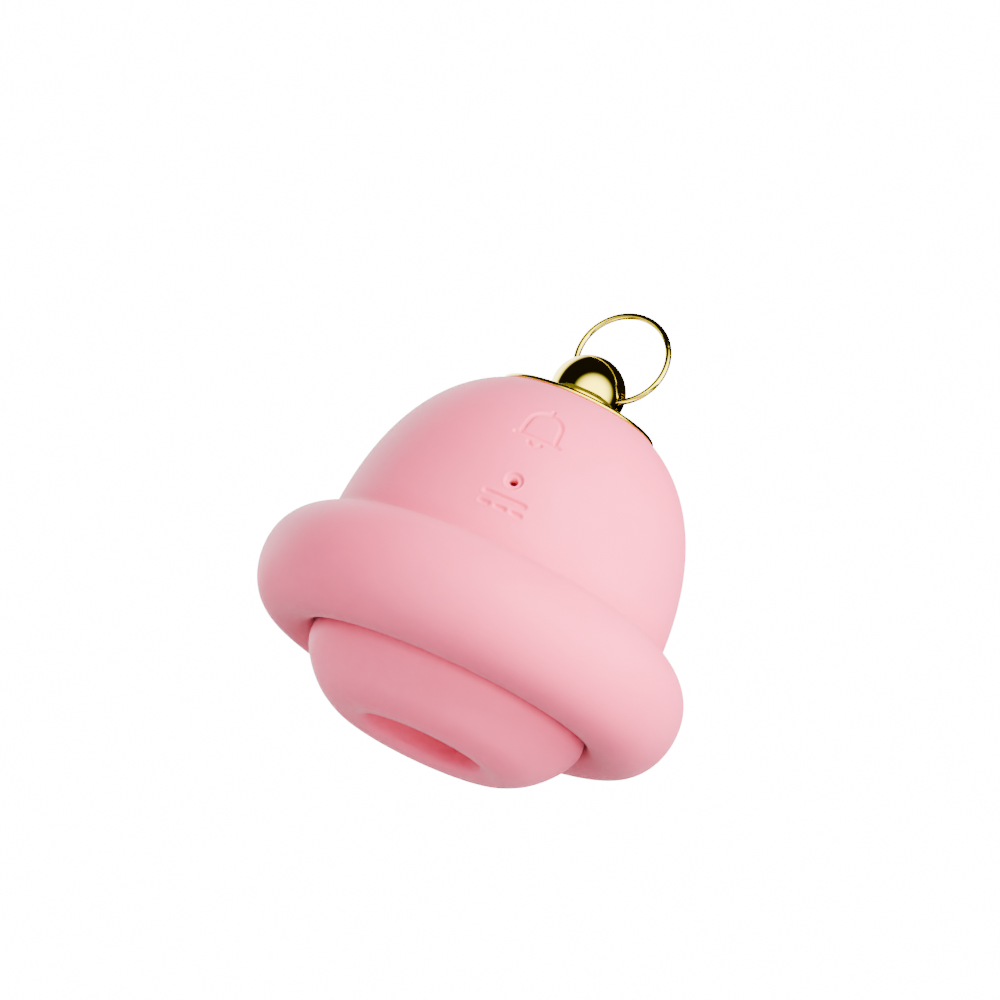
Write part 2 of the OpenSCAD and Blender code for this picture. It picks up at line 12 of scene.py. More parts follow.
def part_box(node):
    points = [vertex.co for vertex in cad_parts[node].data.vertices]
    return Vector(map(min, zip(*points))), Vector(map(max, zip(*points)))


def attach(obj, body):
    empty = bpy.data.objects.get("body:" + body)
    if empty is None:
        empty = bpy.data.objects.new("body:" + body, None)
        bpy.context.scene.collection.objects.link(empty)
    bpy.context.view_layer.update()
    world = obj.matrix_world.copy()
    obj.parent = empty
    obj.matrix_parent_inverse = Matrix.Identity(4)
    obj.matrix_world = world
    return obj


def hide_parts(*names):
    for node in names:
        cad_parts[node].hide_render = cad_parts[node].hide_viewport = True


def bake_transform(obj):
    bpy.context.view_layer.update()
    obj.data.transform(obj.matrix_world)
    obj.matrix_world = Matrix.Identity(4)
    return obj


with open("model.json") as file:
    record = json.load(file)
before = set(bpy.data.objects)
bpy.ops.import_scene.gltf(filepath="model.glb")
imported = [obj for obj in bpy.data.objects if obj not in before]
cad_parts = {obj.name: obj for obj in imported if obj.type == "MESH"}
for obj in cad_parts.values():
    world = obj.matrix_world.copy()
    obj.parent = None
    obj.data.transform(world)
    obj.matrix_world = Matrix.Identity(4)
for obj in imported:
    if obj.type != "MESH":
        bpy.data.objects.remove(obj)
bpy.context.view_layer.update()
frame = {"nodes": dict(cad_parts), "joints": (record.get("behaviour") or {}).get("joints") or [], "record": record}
MM = 0.001


def joint(name):
    return next(j for j in frame["joints"] if j["name"] == name)


# ---------------------------------------------------------------- driving sizes, in millimetres
def span(node, axis):
    low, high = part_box(node)
    return low[axis] / MM, high[axis] / MM


BRIM_R = span("bell_skin", 0)[1]
BRIM_HALF_WIDTH = 10.8
BRIM_Z = 14.6
BRIM_UP = 8.6
BRIM_POWER = 2.16
DOME_R = 22.2
DOME_Z = 19.7
DOME_H = 28.06
DOME_POWER = 2.26
DOME_ROUND = 2.54
SKIN_T = 1.8
BRIM_LOW = span("bell_skin", 2)[0]
SEAT_Z = span("bell_skin", 2)[1]
CUP_R = span("suction_cup", 0)[1]
CUP_H = 9.0
LIP_R = 13.7
MOUTH_R = 7.8
THROAT_R = 4.0
CAP_R = span("cap_disc", 0)[1]
BALL_R = span("ball_finial", 1)[1]
BALL_Z = span("ball_finial", 2)[1] - BALL_R
STUD_R = 1.0
RING_R = 6.0
WIRE_R = 0.4
BUTTON_Z = 38.4
SOCKET_Z = 30.6
MARK_Z = 27.4
BELL_RISE = 0.4
MARK_DEPTH = 0.36
MARK_HALF = 0.22
DISH_DEPTH = 0.42
DISH_R = 1.1
PIN_HOLE_R = 0.58
CAP_T = 0.65
CAP_DISH = 0.55
BALL_FOOT = SEAT_Z + 1.25
BALL_WALL = 0.5
RING_HOLE_R = 1.12
THREAD_PITCH = 0.4
FRONT = -math.pi / 2


# ---------------------------------------------------------------- camera, on the photograph's side
def place_camera():
    """Looks up at the front from below, tilted so that the bell leans to the right."""
    azimuth, elevation, roll = (math.radians(a) for a in (9.6, -11.08, 25.42))
    aim = Vector((0, 0, 15.7)) * MM
    distance = 0.892
    aim_right, aim_up = 3.2 * MM, 16.3 * MM
    back = Vector((math.sin(azimuth) * math.cos(elevation),
                   -math.cos(azimuth) * math.cos(elevation), math.sin(elevation)))
    level = Vector((math.cos(azimuth), math.sin(azimuth), 0))
    rise = back.cross(level)
    right = math.cos(roll) * level + math.sin(roll) * rise
    up = math.cos(roll) * rise - math.sin(roll) * level
    eye = aim + back * distance
    toward = (aim + right * aim_right + up * aim_up - eye).normalized()
    side = toward.cross(up).normalized()
    top = side.cross(toward)
    turn = Matrix((side, top, -toward)).transposed()
    data = bpy.data.cameras.new("camera")
    data.sensor_width = 36
    data.lens = 261.2
    data.clip_start = 0.01
    camera = bpy.data.objects.new("camera", data)
    camera.matrix_world = Matrix.Translation(eye) @ turn.to_4x4()
    bpy.context.scene.collection.objects.link(camera)
    bpy.context.scene.camera = camera
    return right, up, back


VIEW_RIGHT, VIEW_UP, VIEW_BACK = place_camera()


# ---------------------------------------------------------------- node helpers
class Shader:
    """A node material with one Principled shader, built up by short calls."""

    def __init__(self, name):
        self.material = bpy.data.materials.new(name)
        self.material.use_nodes = True
        self.nodes = self.material.node_tree.nodes
        self.links = self.material.node_tree.links
        self.shader = self.nodes["Principled BSDF"]
        self.coords = self.nodes.new("ShaderNodeTexCoord").outputs["Object"]

    def put(self, socket, value):
        self.shader.inputs[socket].default_value = value

    def link(self, output, socket):
        self.links.new(output, self.shader.inputs[socket])

    def noise(self, scale, detail=2.0, roughness=0.5):
        node = self.nodes.new("ShaderNodeTexNoise")
        node.inputs["Scale"].default_value = scale
        node.inputs["Detail"].default_value = detail
        node.inputs["Roughness"].default_value = roughness
        self.links.new(self.coords, node.inputs["Vector"])
        return node.outputs["Fac"]

    def wave(self, scale, distortion=2.0, direction="X"):
        node = self.nodes.new("ShaderNodeTexWave")
        node.bands_direction = direction
        node.inputs["Scale"].default_value = scale
        node.inputs["Distortion"].default_value = distortion
        self.links.new(self.coords, node.inputs["Vector"])
        return node.outputs["Fac"]

    def remap(self, value, low, high, to_low, to_high):
        node = self.nodes.new("ShaderNodeMapRange")
        node.interpolation_type = "SMOOTHSTEP"
        self.links.new(value, node.inputs["Value"])
        for socket, number in (("From Min", low), ("From Max", high),
                               ("To Min", to_low), ("To Max", to_high)):
            node.inputs[socket].default_value = number
        return node.outputs["Result"]

    def mix(self, factor, first, second):
        """Mixes two colours, each a tuple or another node's output."""
        node = self.nodes.new("ShaderNodeMix")
        node.data_type = "RGBA"
        self.links.new(factor, node.inputs["Factor"])
        for socket, value in ((6, first), (7, second)):
            if isinstance(value, tuple):
                node.inputs[socket].default_value = (*value, 1)
            else:
                self.links.new(value, node.inputs[socket])
        return node.outputs[2]

    def math(self, operation, first, second=0.0):
        node = self.nodes.new("ShaderNodeMath")
        node.operation = operation
        for socket, value in enumerate((first, second)):
            if isinstance(value, (int, float)):
                node.inputs[socket].default_value = value
            else:
                self.links.new(value, node.inputs[socket])
        return node.outputs["Value"]

    def bump(self, height, strength, distance):
        node = self.nodes.new("ShaderNodeBump")
        node.inputs["Strength"].default_value = strength
        node.inputs["Distance"].default_value = distance
        self.links.new(height, node.inputs["Height"])
        self.link(node.outputs["Normal"], "Normal")

    def around_axis(self):
        """Distance from the bell's axis and height, both in metres."""
        split = self.nodes.new("ShaderNodeSeparateXYZ")
        self.links.new(self.coords, split.inputs["Vector"])
        x, y, z = split.outputs
        radius = self.math("SQRT", self.math("ADD", self.math("MULTIPLY", x, x),
                                             self.math("MULTIPLY", y, y)))
        return radius, z

    def near_circle(self, radius_mm, height_mm, reach_mm):
        """1 on a level circle round the axis, falling to 0 at a given reach."""
        radius, z = self.around_axis()
        across = self.math("SUBTRACT", radius, radius_mm * MM)
        along = self.math("SUBTRACT", z, height_mm * MM)
        away = self.math("SQRT", self.math("ADD", self.math("MULTIPLY", across, across),
                                           self.math("MULTIPLY", along, along)))
        return self.remap(away, 0, reach_mm * MM, 1, 0)


def linear(red, green, blue):
    """A colour picked on screen, 0 to 255, as the shader's linear light."""
    def one(value):
        value /= 255
        return value / 12.92 if value <= 0.04045 else ((value + 0.055) / 1.055) ** 2.4
    return tuple(one(value) for value in (red, green, blue))


# ---------------------------------------------------------------- materials
CREASE_R, CREASE_Z = 22.3, 22.2
GROOVE_R = CUP_R + 0.15


def silicone(name, shaded_creases, painted_mouth_shade=False):
    """Soft-touch silicone: pale and faintly translucent, with painted shade, darker and redder, in each crease
    and, for the cup, in the mouth and low along the lip.
    """
    look = Shader(name)
    pale = (0.955, 0.108, 0.236)
    rosy = (0.945, 0.096, 0.216)
    # painted shade: a dark red that stands in for the dim light in each crease and hollow
    crease_shade_colour = (0.5, 0.022, 0.085)
    cloud = look.remap(look.noise(55, 3), 0.35, 0.65, 0, 1)
    colour = look.mix(cloud, pale, rosy)
    # painted shade round each crease circle, fading out over its reach
    for radius, height, reach, strength in shaded_creases:
        mask = look.math("MULTIPLY", look.near_circle(radius, height, reach), strength)
        colour = look.mix(mask, colour, crease_shade_colour)
    # painted shade in the cup: darker inside the mouth's bowl, and redder low along the lip
    if painted_mouth_shade:
        radius, z = look.around_axis()
        inside = look.math("MULTIPLY", look.remap(radius, 7.4 * MM, 8.6 * MM, 1, 0),
                           look.remap(z, 0.6 * MM, 5 * MM, 0, 0.9))
        colour = look.mix(inside, colour, (0.56, 0.008, 0.05))
        colour = look.mix(look.remap(z, 0.1 * MM, 2.6 * MM, 0.4, 0), colour, crease_shade_colour)
    look.link(colour, "Base Color")
    look.put("Roughness", 0.5)
    look.put("Subsurface Weight", 0.3)
    look.put("Subsurface Radius", (1.0, 0.4, 0.5))
    look.put("Subsurface Scale", 1.4 * MM)
    look.put("Sheen Weight", 0.12)
    look.put("Sheen Roughness", 0.4)
    look.put("Sheen Tint", (1.0, 0.93, 0.94, 1))
    look.put("Specular IOR Level", 0.35)
    look.bump(look.noise(9000, 2, 0.6), 0.18, 0.02 * MM)
    return look.material


def plated_gold(name):
    """Mirror-plated gold with a trace of orange peel and faint smears."""
    look = Shader(name)
    smear = look.remap(look.noise(260, 4), 0.4, 0.7, 0, 1)
    look.link(look.mix(smear, (0.98, 0.81, 0.03), (0.96, 0.76, 0.02)), "Base Color")
    look.link(look.remap(look.noise(700, 3), 0.3, 0.8, 0.035, 0.09), "Roughness")
    look.put("Metallic", 1.0)
    look.bump(look.noise(1500, 1), 0.03, 0.02 * MM)
    return look.material


def moulded(name, colour, roughness, grain=2500, strength=0.12):
    """Injection-moulded plastic with fine texture and slight colour drift."""
    look = Shader(name)
    darker = tuple(channel * 0.86 for channel in colour)
    look.link(look.mix(look.remap(look.noise(120, 3), 0.35, 0.7, 0, 1), colour, darker),
              "Base Color")
    look.link(look.remap(look.noise(400, 2), 0.3, 0.7, roughness - 0.05, roughness + 0.07),
              "Roughness")
    look.bump(look.noise(grain, 3), strength, 0.03 * MM)
    return look.material


def drawn_metal(name, colour, roughness, direction="X"):
    """Drawn or turned metal with fine brush lines."""
    look = Shader(name)
    lines = look.wave(1800, 3.0, direction)
    darker = tuple(channel * 0.8 for channel in colour)
    look.link(look.mix(look.remap(look.noise(300, 3), 0.4, 0.75, 0, 1), colour, darker),
              "Base Color")
    look.link(look.remap(lines, 0, 1, roughness - 0.06, roughness + 0.08), "Roughness")
    look.put("Metallic", 1.0)
    look.bump(lines, 0.08, 0.01 * MM)
    return look.material


def circuit_board(name):
    """Green solder mask with copper tracks that show through."""
    look = Shader(name)
    tracks = look.remap(look.wave(420, 1.5, "X"), 0.62, 0.7, 0, 1)
    mask, copper = linear(22, 84, 50), linear(52, 120, 70)
    look.link(look.mix(tracks, mask, copper), "Base Color")
    look.put("Roughness", 0.32)
    look.bump(tracks, 0.3, 0.03 * MM)
    return look.material


def tinted_window(name):
    """The red window over the status light."""
    look = Shader(name)
    look.link(look.mix(look.noise(900), linear(230, 60, 45), linear(200, 40, 30)), "Base Color")
    look.put("Roughness", 0.12)
    look.put("Transmission Weight", 0.5)
    return look.material


def foam(name):
    """Open-cell foam."""
    look = Shader(name)
    cells = look.nodes.new("ShaderNodeTexVoronoi")
    cells.inputs["Scale"].default_value = 2600
    look.links.new(look.coords, cells.inputs["Vector"])
    look.link(look.mix(cells.outputs["Distance"], linear(30, 30, 30), linear(70, 70, 70)),
              "Base Color")
    look.put("Roughness", 0.95)
    look.bump(cells.outputs["Distance"], 0.6, 0.1 * MM)
    return look.material


# painted shade in the crease between dome and brim, and darker in the groove under the brim round the cup
SKIN = silicone("silicone_skin", ((CREASE_R, CREASE_Z, 3.2, 0.22), (GROOVE_R, 7.6, 11.0, 1.0)))
# painted shade in the groove under the brim and in the mouth and lip
CUP = silicone("silicone_cup", ((GROOVE_R, 9.2, 2.6, 0.9),), painted_mouth_shade=True)
GOLD = plated_gold("plated_gold")
BY_SLOT = {
    "silicone": SKIN,
    "gold": GOLD,
    "steel": drawn_metal("plated_steel", linear(196, 198, 202), 0.28),
    "case_plastic": moulded("case_plastic", linear(236, 230, 226), 0.42),
    "frame_plastic": moulded("frame_plastic", linear(224, 224, 220), 0.4),
    "seal_rubber": moulded("seal_rubber", linear(52, 52, 54), 0.7, 4000),
    "board": circuit_board("circuit_board"),
    "switch_metal": drawn_metal("stamped_metal", linear(202, 202, 204), 0.3, "Y"),
    "black_plastic": moulded("black_plastic", linear(34, 34, 36), 0.3, 3000),
    "socket_plastic": moulded("socket_plastic", (0.62, 0.05, 0.14), 0.45),
    "light_window": tinted_window("light_window"),
    "contact": drawn_metal("contact_metal", linear(226, 190, 110), 0.22, "Z"),
    "cell_wrap": moulded("cell_wrap", linear(84, 100, 168), 0.24, 600, 0.2),
    "foam": foam("foam"),
    "wire_cover": moulded("wire_cover", linear(176, 40, 40), 0.38, 1500),
    "motor_steel": drawn_metal("motor_steel", linear(200, 200, 200), 0.24),
    # painted shade, darker and redder, towards the pump's axis about 15 mm up
    "pump_silicone": silicone("pump_silicone", ((0, 15, 9, 0.4),)),
}


def paint(piece, material):
    piece.data.materials.clear()
    piece.data.materials.append(material)


def dress_frame():
    """Gives every carried-over node the material of its slot."""
    for entry in frame["record"]["subparts"]:
        node = frame["nodes"][entry["node"]]
        paint(node, BY_SLOT[entry["material_slot"]])


# ---------------------------------------------------------------- curves and surfaces of revolution
def dome_radius(z, inset=0.0):
    rise = np.clip((np.asarray(z, float) - DOME_Z) / (DOME_H - inset), 0, 0.9999)
    return (DOME_R - inset) * (1 - rise ** DOME_POWER) ** (1 / DOME_ROUND)


def lean(z):
    """How far the dome's normal points upwards, in radians."""
    return math.atan((dome_radius(z - 0.1) - dome_radius(z + 0.1)) / 0.2)


def bezier(a, b, c, d, steps):
    t = np.linspace(0, 1, steps + 1)[:, None]
    a, b, c, d = (np.array(p, float) for p in (a, b, c, d))
    return (1 - t) ** 3 * a + 3 * t * (1 - t) ** 2 * b + 3 * t * t * (1 - t) * c + t ** 3 * d


def brim_arc(inset, angles):
    width, rise = BRIM_HALF_WIDTH - inset, BRIM_UP - inset
    return np.stack([BRIM_R - BRIM_HALF_WIDTH + width * np.cos(angles) ** (2 / BRIM_POWER),
                     BRIM_Z + rise * np.sin(angles) ** (2 / BRIM_POWER)], 1)


def lower_brim(inset, steps):
    lip = (GROOVE_R + inset, CUP_H + 0.1 + inset)
    low = (GROOVE_R + 3.55, BRIM_LOW + inset)
    wide = (BRIM_R - inset, BRIM_Z)
    drop = BRIM_Z - BRIM_LOW - inset
    first = bezier(lip, (lip[0], lip[1] - (CUP_H + 0.1 - BRIM_LOW) * 0.6), (low[0] - 1.8, low[1]),
                   low, steps)
    second = bezier(low, (low[0] + 3.6, low[1]), (wide[0], wide[1] - drop * 0.53), wide, steps)
    return np.concatenate([first, second[1:]])


def resample(points, spacing):
    """Evenly spaced points along a polyline; spacing is a number or a function of height."""
    steps = np.linalg.norm(np.diff(points, axis=0), axis=1)
    along = np.concatenate([[0], np.cumsum(steps)])
    places, s = [], 0.0
    while s < along[-1]:
        places.append(s)
        z = np.interp(s, along, points[:, 1])
        s += spacing(z) if callable(spacing) else spacing
    places.append(along[-1])
    return np.stack([np.interp(places, along, points[:, i]) for i in (0, 1)], 1)


def soften(points, reach, times):
    """Rounds a polyline's corners, keeping its two ends."""
    points = points.copy()
    for _ in range(times):
        middle = (points[:-2] + 2 * points[1:-1] + points[2:]) / 4
        points[1:-1] += reach * (middle - points[1:-1])
    return points


def outer_profile():
    """The skin's outside, from the groove round the cup up to the cap's seat."""
    upper = brim_arc(0, np.linspace(0, math.pi / 2, 200)[1:])
    upper = upper[upper[:, 0] > dome_radius(upper[:, 1])]
    heights = np.linspace(upper[-1, 1], SEAT_Z, 300)[1:]
    dome = np.stack([dome_radius(heights), heights], 1)
    whole = np.concatenate([lower_brim(0, 60), upper, dome])
    return soften(resample(whole, 0.12), 0.9, 10)


def lathe(name, rows, angles, moved=None, closed=False):
    """Turns rows of (radius, height) in millimetres round the axis into a quad mesh."""
    rows = np.asarray(rows, float)
    radius, height = rows[:, 0][:, None], rows[:, 1][:, None]
    cos, sin = np.cos(angles)[None], np.sin(angles)[None]
    points = np.stack([radius * cos, radius * sin, height + 0 * cos], 2)
    if moved is not None:
        points = points + moved(points, rows)
    count, columns = len(rows), len(angles)
    index = np.arange(count * columns).reshape(count, columns)
    after = np.roll(index, -1, axis=1)
    above, above_after = np.roll(index, -1, 0), np.roll(after, -1, 0)
    last = count if closed else count - 1
    faces = np.stack([index[:last], after[:last], above_after[:last], above[:last]], 2)
    mesh = bpy.data.meshes.new(name)
    mesh.from_pydata((points.reshape(-1, 3) * MM).tolist(), [], faces.reshape(-1, 4).tolist())
    mesh.validate()
    for polygon in mesh.polygons:
        polygon.use_smooth = True
    piece = bpy.data.objects.new(name, mesh)
    bpy.context.scene.collection.objects.link(piece)
    fix_normals(mesh)
    return piece


def fix_normals(mesh):
    """Merges points that coincide and turns every face outwards."""
    work = bmesh.new()
    work.from_mesh(mesh)
    bmesh.ops.remove_doubles(work, verts=work.verts, dist=1e-7)
    bmesh.ops.recalc_face_normals(work, faces=work.faces)
    work.to_mesh(mesh)
    work.free()


# ---------------------------------------------------------------- marks pressed into the front
def arc(centre, radius, start, end, steps=24):
    angles = np.radians(np.linspace(start, end, steps))
    return np.stack([centre[0] + radius * np.cos(angles), centre[1] + radius * np.sin(angles)], 1)


def bell_strokes():
    crown = arc((0, 0.5), 2.1, 0, 180)
    return [np.concatenate([[[2.25, -1.5]], crown, [[-2.25, -1.5]]]),
            np.array([[-2.9, -1.95], [2.9, -1.95]]),
            arc((0, -2.45), 0.85, 205, 335),
            np.array([[0, 2.75], [0, 3.3]])]


def current_strokes():
    return [np.array([[-2.6, 0.7], [2.6, 0.7]])] + [
        np.array([[x - 0.5, -0.7], [x + 0.5, -0.7]]) for x in (-2.1, 0, 2.1)]


def distance_to(strokes, x, y):
    """Distance in the mark's plane to the nearest stroke."""
    best = np.full(x.shape, 99.0)
    for line in strokes:
        for a, b in zip(line[:-1], line[1:]):
            d = b - a
            t = np.clip(((x - a[0]) * d[0] + (y - a[1]) * d[1]) / (d @ d), 0, 1)
            best = np.minimum(best, np.hypot(x - a[0] - t * d[0], y - a[1] - t * d[1]))
    return best


def smooth_step(value, low, high):
    """0 below low, 1 above high, and a smooth rise between them."""
    t = np.clip((value - low) / (high - low), 0, 1)
    return t * t * (3 - 2 * t)


def on_tangent(points, z):
    """Coordinates across and up the dome's tangent plane at a height on the front."""
    angle = lean(z)
    up = np.array([0, math.sin(angle), math.cos(angle)])
    anchor = np.array([0, -dome_radius(z), z])
    return points[..., 0], (points - anchor) @ up


def pressed_in(points, rows):
    """Moves the skin's front inward along its normal, to the depth of each mark."""
    slope = np.gradient(rows, axis=0)
    normal = np.stack([slope[:, 1], -slope[:, 0]], 1)
    normal /= np.linalg.norm(normal, axis=1)[:, None]
    flat = points[..., :2] / np.maximum(np.hypot(points[..., 0], points[..., 1]), 1e-6)[..., None]
    outward = np.concatenate([flat * normal[:, None, :1],
                              np.broadcast_to(normal[:, None, 1:], points.shape[:2] + (1,))], 2)
    front = (points[..., 1] < 0) & (points[..., 2] > CREASE_Z + 1.5)
    depth = np.zeros(points.shape[:2])
    for z, rise, strokes in ((BUTTON_Z, BELL_RISE, bell_strokes()),
                             (MARK_Z, 0, current_strokes())):
        x, y = on_tangent(points, z)
        y = y - rise
        near = (np.abs(x) < 5) & (np.abs(y) < 5) & front
        away = np.full(x.shape, 99.0)
        away[near] = distance_to(strokes, x[near], y[near])
        stroke = 1 - smooth_step(away, MARK_HALF - 0.1, MARK_HALF + 0.12)
        depth = np.maximum(depth, MARK_DEPTH * stroke)
        depth -= 0.05 * front * np.exp(-((away - MARK_HALF - 0.34) / 0.16) ** 2)
    x, y = on_tangent(points, SOCKET_Z)
    away = np.where(front, np.hypot(x, y), 99)
    dish = DISH_DEPTH * (1 - smooth_step(away, DISH_R - 0.12, DISH_R + 0.12))
    lip = 0.05 * np.exp(-((away - DISH_R - 0.24) / 0.14) ** 2)
    return -(depth + dish - lip)[..., None] * outward


# ---------------------------------------------------------------- the soft pieces
def columns(fine_half, fine_step, coarse_step):
    """Angles round the axis, close together on the front."""
    fine = np.radians(np.arange(-fine_half, fine_half, fine_step))
    coarse = np.radians(np.arange(fine_half, 360 - fine_half, coarse_step))
    return np.concatenate([fine, coarse]) + FRONT


def build_skin():
    """One soft skin over case and button, with its marks."""
    outside = resample(outer_profile(), lambda z: 0.1 if 25 < z < 42.7 else 0.3)
    count = len(outside)
    edge = outside[-1]
    crown = np.array([[edge[0] - 0.15, edge[1] + 0.0], [STUD_R + 0.1, edge[1]],
                      [STUD_R + 0.1, SEAT_Z - SKIN_T]])
    heights = np.linspace(SEAT_Z - SKIN_T, 22.7, 26)
    inner_dome = np.stack([dome_radius(heights, SKIN_T), heights], 1)
    inner_brim = brim_arc(SKIN_T, np.linspace(1.08, 0.02, 16))
    inner_low = lower_brim(SKIN_T, 10)[::-1]
    hole = np.array([[12.6, CUP_H + 0.1 + SKIN_T], [12.6, CUP_H + 0.1]])
    inside = np.concatenate([crown, inner_dome, inner_brim, inner_low, hole])
    rows = np.concatenate([outside, inside])

    def moved(points, all_rows):
        shift = np.zeros_like(points)
        shift[:count] = pressed_in(points[:count], all_rows[:count])
        return shift

    skin = lathe("soft_skin", rows, columns(15.6, 0.28, 2.4), moved, closed=True)
    angle = lean(SOCKET_Z)
    normal = Vector((0, -math.cos(angle), math.sin(angle)))
    surface = Vector((0, -float(dome_radius(SOCKET_Z)), SOCKET_Z)) * MM
    drill = cylinder_tool("pin_hole", surface - normal * MM, normal, PIN_HOLE_R, 3.4)
    cut_away(skin, (drill,))
    paint(skin, SKIN)
    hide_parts("bell_skin", "button_pad")
    angle = lean(BUTTON_Z)
    normal = Vector((0, -math.cos(angle), math.sin(angle)))
    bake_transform(skin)


def build_cup():
    """The suction cup: rounded lip, round mouth, a bowl and a throat."""
    stem = CUP_R * 0.68
    neck = stem - 3
    top = 13.3
    flank = (LIP_R, 1.2)
    rest = MOUTH_R + 2.5
    outside = np.concatenate([
        [[rest, 0.0]],
        bezier((rest + 0.6, 0), (rest + 1.3, 0), (LIP_R - 0.8, 0.7), flank, 16),
        bezier(flank, (LIP_R + 1.5, 2.1), (CUP_R - 0.05, CUP_H - 3.9), (CUP_R, CUP_H - 1.2), 26)[1:],
        bezier((CUP_R, CUP_H - 1.2), (CUP_R, CUP_H - 0.35), (CUP_R - 0.35, CUP_H),
               (CUP_R - 1.1, CUP_H), 10)[1:]])
    stem_rows = [[stem, CUP_H], [stem, CUP_H + 0.1 + SKIN_T], [neck, CUP_H + 0.1 + SKIN_T],
                 [neck, 12.5], [neck + 0.5, 12.5], [neck, top], [THROAT_R, top]]
    bowl_top, bowl_low = CUP_H - 0.2, 1.1
    bowl = np.concatenate([
        bezier((THROAT_R, bowl_top), (THROAT_R, bowl_top - 2.4), (MOUTH_R + 0.5, bowl_top - 1.6),
               (MOUTH_R + 0.5, bowl_top - 4.2), 20),
        bezier((MOUTH_R + 0.5, bowl_top - 4.2), (MOUTH_R + 0.5, 2.8), (MOUTH_R, 2.2),
               (MOUTH_R, bowl_low), 12)[1:],
        bezier((MOUTH_R, bowl_low), (MOUTH_R, 0.35), (MOUTH_R + 0.8, 0), (rest, 0), 14)[1:-1]])
    rows = np.concatenate([outside, stem_rows, bowl])
    cup = lathe("cup_body", rows, np.linspace(0, 2 * math.pi, 181)[:-1], closed=True)
    paint(cup, CUP)
    crisp(cup, 40)
    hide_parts("suction_cup")
    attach(cup, "shell")


def build_bellows():
    """The pump's folded membrane, with its flange at the foot."""
    low, high = span("bellows", 2)
    rim = span("bellows", 0)[1]
    outer = rim - 2.8
    wall = 0.5
    flange = low + wall
    fold = (low + high) / 2 + 0.3
    corners_of_wall = np.array([
        [0.0, high - wall], [outer - 1.5, high - wall], [outer - 0.7, fold], [outer - 1.2, flange],
        [outer - 1.2, low], [rim, low], [rim, flange], [outer - 0.6, flange], [outer, fold],
        [outer - 1.2, high], [0.0, high]])
    rows = resample(corners_of_wall, 0.2)
    bellows = lathe("folded_bellows", rows, np.linspace(0, 2 * math.pi, 121)[:-1])
    paint(bellows, BY_SLOT["pump_silicone"])
    crisp(bellows, 30)
    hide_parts("bellows")
    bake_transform(bellows)


def cylinder_tool(name, centre, axis, radius, length):
    """A cylinder for cutting: centre in metres, radius and length in millimetres."""
    mesh = bpy.data.meshes.new(name)
    work = bmesh.new()
    bmesh.ops.create_cone(work, cap_ends=True, segments=64, radius1=radius * MM,
                          radius2=radius * MM, depth=length * MM)
    work.to_mesh(mesh)
    work.free()
    tool = bpy.data.objects.new(name, mesh)
    bpy.context.scene.collection.objects.link(tool)
    turn = axis.to_track_quat("Z", "Y").to_matrix().to_4x4()
    tool.matrix_world = Matrix.Translation(centre) @ turn
    return tool


def cut_away(piece, tools):
    """Cuts tools out of a piece and removes them."""
    for tool in tools:
        cut = piece.modifiers.new("cut", "BOOLEAN")
        cut.object = tool
        cut.solver = "EXACT"
    bpy.context.view_layer.update()
    graph = bpy.context.evaluated_depsgraph_get()
    mesh = bpy.data.meshes.new_from_object(piece.evaluated_get(graph))
    piece.modifiers.clear()
    piece.data = mesh
    for polygon in mesh.polygons:
        polygon.use_smooth = True
    for tool in tools:
        bpy.data.objects.remove(tool)


def crisp(piece, degrees):
    """Keeps edges sharper than an angle crisp in the shading."""
    limit = math.radians(degrees)
    work = bmesh.new()
    work.from_mesh(piece.data)
    for edge in work.edges:
        if edge.is_manifold and edge.calc_face_angle(0) > limit:
            edge.smooth = False
    work.to_mesh(piece.data)
    work.free()


# ---------------------------------------------------------------- the gold pieces
def build_cap():
    low, high = span("cap_disc", 2)
    rim = low + CAP_T
    rows = np.concatenate([
        [[STUD_R + 0.1, low], [CAP_R - 0.22, low]],
        bezier((CAP_R - 0.22, low), (CAP_R - 0.05, low), (CAP_R, low + 0.08),
               (CAP_R, low + 0.25), 6)[1:],
        bezier((CAP_R, low + 0.25), (CAP_R, low + 0.45), (CAP_R - 0.2, rim - 0.03),
               (CAP_R - 0.6, rim + 0.03), 8)[1:],
        bezier((CAP_R - 0.6, rim + 0.03), (CAP_R * 0.75, rim + 0.3), (CAP_R * 0.6, high - 0.12),
               (BALL_R - 0.3, high - 0.1), 24)[1:],
        [[BALL_R - 0.55, high - 0.3], [BALL_R - 0.55, high - CAP_DISH],
         [STUD_R + 0.1, high - CAP_DISH]]])
    cap = lathe("gold_cap", rows, np.linspace(0, 2 * math.pi, 241)[:-1], closed=True)
    paint(cap, GOLD)
    crisp(cap, 50)
    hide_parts("cap_disc")
    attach(cap, "shell")


def ring_axes():
    """The ring's own frame, from its joint: along the wire holes, outwards, and the pivot."""
    swing = joint("ring_swing")
    across = Vector(swing["axis"]).normalized()
    pivot = Vector(swing["pos_m"])
    out = (pivot - Vector((0, 0, BALL_Z)) * MM).normalized()
    return across, out, pivot


